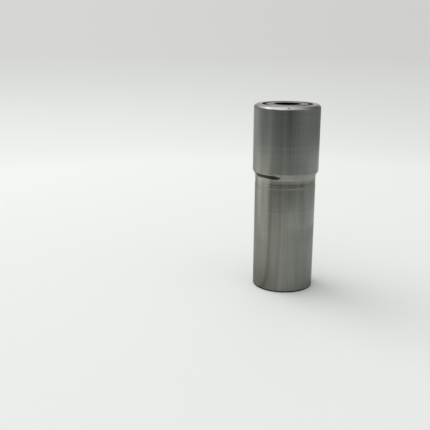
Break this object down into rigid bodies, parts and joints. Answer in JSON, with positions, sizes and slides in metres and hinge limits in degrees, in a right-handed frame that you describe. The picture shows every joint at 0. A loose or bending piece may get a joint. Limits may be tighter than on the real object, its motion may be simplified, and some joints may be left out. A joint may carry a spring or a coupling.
{
  "type": "cold heading die",
  "caption": "Round stepped steel heading die with a flush hard insert, a relief groove round the insert's nose, a straight die bore and a rear knock-out hole.",
  "frame": {"origin": "centre of the rear face, on the die's axis", "axes": "+Z along the die's axis, from the rear face to the working face; X and Y are free, because the die is round"},
  "size_m": [0.027, 0.027, 0.0762],
  "materials": {
    "case_steel": "hardened tool steel, fine cylindrical grinding",
    "insert_hard_metal": "cemented carbide, face ground, bore lapped",
    "plug_steel": "hardened tool steel, ground"
  },
  "bodies": {
    "root": {"die_case": "case_steel", "die_insert": "insert_hard_metal", "backing_plug": "plug_steel"}
  },
  "joints": []
}
